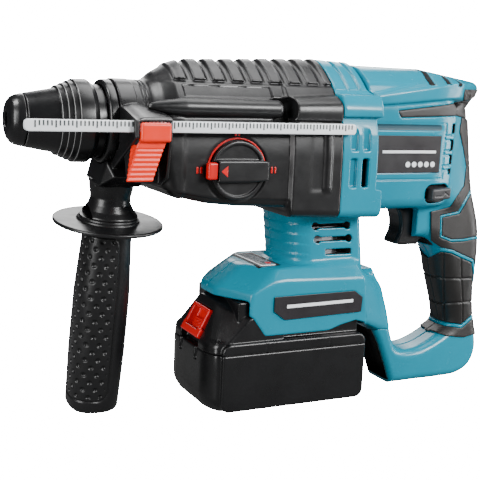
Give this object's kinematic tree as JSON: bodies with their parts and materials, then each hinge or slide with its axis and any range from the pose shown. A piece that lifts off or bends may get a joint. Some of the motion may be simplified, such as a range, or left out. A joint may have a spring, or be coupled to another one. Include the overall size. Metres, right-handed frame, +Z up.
{
  "type": "cordless rotary hammer",
  "caption": "Cordless rotary hammer with a sliding-sleeve chuck, mode knob, rear D handle, side handle with depth gauge, and a slide-on battery.",
  "frame": {"origin": "centre of the battery's flat bottom, on which the tool stands; the spindle axis is 183 mm above it", "axes": "+X from the nose towards the rear handle, parallel to the spindle axis, +Z up, -Y is the left side with the mode knob"},
  "size_m": [0.3509, 0.1004, 0.2348],
  "materials": {
    "teal_shell": "satin moulded plastic",
    "black_shell": "fine textured moulded plastic",
    "black_gloss": "smooth moulded plastic",
    "grip_rubber": "soft overmoulded rubber",
    "orange_plastic": "moulded plastic",
    "red_plastic": "moulded plastic",
    "gauge_plastic": "white plastic with dark graduation lines",
    "label_film": "printed film",
    "bright_steel": "ground steel",
    "laminated_iron": "laminated or cast metal",
    "contact_brass": "plated contacts",
    "clear_lens": "clear lens over a pale reflector",
    "circuit_board": "coated board",
    "cell_wrap": "shrink wrap"
  },
  "bodies": {
    "housing": {"gear_housing": "black_shell", "oil_seal": "grip_rubber", "spindle_bearing": "bright_steel", "shaft_bearing_front": "bright_steel", "shaft_bearing_rear": "bright_steel", "mode_dial_ring": "red_plastic", "motor_stator": "laminated_iron", "motor_bearing_upper": "bright_steel", "motor_bearing_lower": "bright_steel", "motor_housing_left": "teal_shell", "motor_housing_right": "teal_shell", "foot_light_lens": "clear_lens", "rear_housing_left": "teal_shell", "rear_housing_right": "teal_shell", "grip_pad_left": "grip_rubber", "grip_pad_right": "grip_rubber", "switch_body": "black_gloss", "trigger_spring": "bright_steel", "control_board": "circuit_board", "rear_label_left": "label_film", "rear_label_right": "label_film", "foot_label_left": "label_film", "foot_label_right": "label_film", "housing_screw_1": "bright_steel", "housing_screw_2": "bright_steel", "housing_screw_3": "bright_steel", "housing_screw_4": "bright_steel"},
    "spindle": {"tool_spindle": "bright_steel", "spindle_gear": "bright_steel", "chuck_dust_cap": "black_gloss", "chuck_stop_ring": "black_gloss", "locking_ball_left": "bright_steel", "locking_ball_right": "bright_steel", "chuck_spring": "bright_steel"},
    "chuck_sleeve": {"chuck_sleeve": "black_gloss"},
    "impact_bolt": {"impact_bolt": "bright_steel"},
    "striker": {"striker": "bright_steel"},
    "piston": {"piston": "laminated_iron"},
    "wobble_ring": {"wobble_ring": "bright_steel"},
    "intermediate_shaft": {"intermediate_shaft": "bright_steel", "drive_pinion": "bright_steel", "bevel_gear": "bright_steel"},
    "motor_rotor": {"motor_rotor": "bright_steel", "motor_pinion": "bright_steel", "cooling_fan": "black_shell"},
    "mode_knob": {"mode_knob": "black_shell"},
    "mode_lock_button": {"mode_lock_button": "red_plastic"},
    "trigger": {"trigger": "black_shell"},
    "direction_lever": {"direction_lever": "black_shell"},
    "battery": {"battery_lower_shell": "black_gloss", "battery_upper_shell": "black_gloss", "battery_cells": "cell_wrap", "terminal_block": "contact_brass"},
    "battery_latch": {"battery_latch": "red_plastic"},
    "side_handle": {"handle_clamp": "black_shell", "handle_strap": "bright_steel", "handle_bolt": "bright_steel"},
    "handle_grip": {"handle_grip": "black_shell"},
    "depth_gauge": {"depth_gauge": "gauge_plastic"},
    "depth_lock_button": {"depth_lock_button": "orange_plastic"}
  },
  "joints": [
    {"name": "motor_spin", "type": "hinge", "parent": "housing", "child": "motor_rotor", "pos_m": [0.028, 0, 0.103], "axis": [0, 0, 1], "continuous": true},
    {"name": "shaft_spin", "type": "hinge", "parent": "housing", "child": "intermediate_shaft", "pos_m": [-0.026, 0, 0.158], "axis": [1, 0, 0], "continuous": true},
    {"name": "spindle_spin", "type": "hinge", "parent": "housing", "child": "spindle", "pos_m": [-0.126, 0, 0.183], "axis": [1, 0, 0], "continuous": true},
    {"name": "sleeve_slide", "type": "slide", "parent": "spindle", "child": "chuck_sleeve", "axis": [1, 0, 0], "range_m": [0, 0.005], "stiffness_N_per_m": 800, "deforming": ["chuck_spring"]},
    {"name": "impact_bolt_slide", "type": "slide", "parent": "spindle", "child": "impact_bolt", "axis": [1, 0, 0], "range_m": [-0.0035, 0]},
    {"name": "striker_slide", "type": "slide", "parent": "housing", "child": "striker", "axis": [1, 0, 0], "range_m": [-0.0055, 0.006]},
    {"name": "wobble_swing", "type": "hinge", "parent": "housing", "child": "wobble_ring", "pos_m": [-0.004, 0, 0.158], "axis": [0, 1, 0], "range_deg": [-12, 12]},
    {"name": "piston_slide", "type": "slide", "parent": "housing", "child": "piston", "axis": [1, 0, 0], "range_m": [-0.0052, 0.0052]},
    {"name": "knob_turn", "type": "hinge", "parent": "housing", "child": "mode_knob", "pos_m": [-0.045, -0.0435, 0.157], "axis": [0, 1, 0], "range_deg": [0, 180]},
    {"name": "lock_press", "type": "slide", "parent": "mode_knob", "child": "mode_lock_button", "axis": [1, 0, 0], "range_m": [0, 0.0025], "stiffness_N_per_m": 400},
    {"name": "trigger_pull", "type": "slide", "parent": "housing", "child": "trigger", "axis": [1, 0, 0], "range_m": [0, 0.007], "stiffness_N_per_m": 600, "deforming": ["trigger_spring"]},
    {"name": "lever_shift", "type": "slide", "parent": "housing", "child": "direction_lever", "axis": [0, 1, 0], "range_m": [-0.003, 0.003]},
    {"name": "battery_slide", "type": "slide", "parent": "housing", "child": "battery", "axis": [-1, 0, 0], "range_m": [0, 0.036]},
    {"name": "latch_press", "type": "slide", "parent": "battery", "child": "battery_latch", "axis": [-0.6691, 0, -0.7431], "range_m": [0, 0.0025], "stiffness_N_per_m": 400},
    {"name": "handle_swing", "type": "hinge", "parent": "housing", "child": "side_handle", "pos_m": [-0.108, 0, 0.183], "axis": [1, 0, 0], "range_deg": [-70, 0]},
    {"name": "grip_twist", "type": "hinge", "parent": "side_handle", "child": "handle_grip", "pos_m": [-0.108, 0, 0.183], "axis": [0.0366, -0.123, 0.9917], "range_deg": [-180, 180]},
    {"name": "gauge_slide", "type": "slide", "parent": "side_handle", "child": "depth_gauge", "axis": [1, 0, 0], "range_m": [-0.1, 0.02]},
    {"name": "gauge_lock_press", "type": "slide", "parent": "side_handle", "child": "depth_lock_button", "axis": [0, 1, 0], "range_m": [0, 0.003], "stiffness_N_per_m": 400}
  ],
  "couplings": [
    {"joint": "shaft_spin", "follows": "motor_spin", "ratio": -0.33333},
    {"joint": "spindle_spin", "follows": "motor_spin", "ratio": 0.11111},
    {"joint": "wobble_swing", "follows": "piston_slide", "rad_per_m": 40}
  ]
}
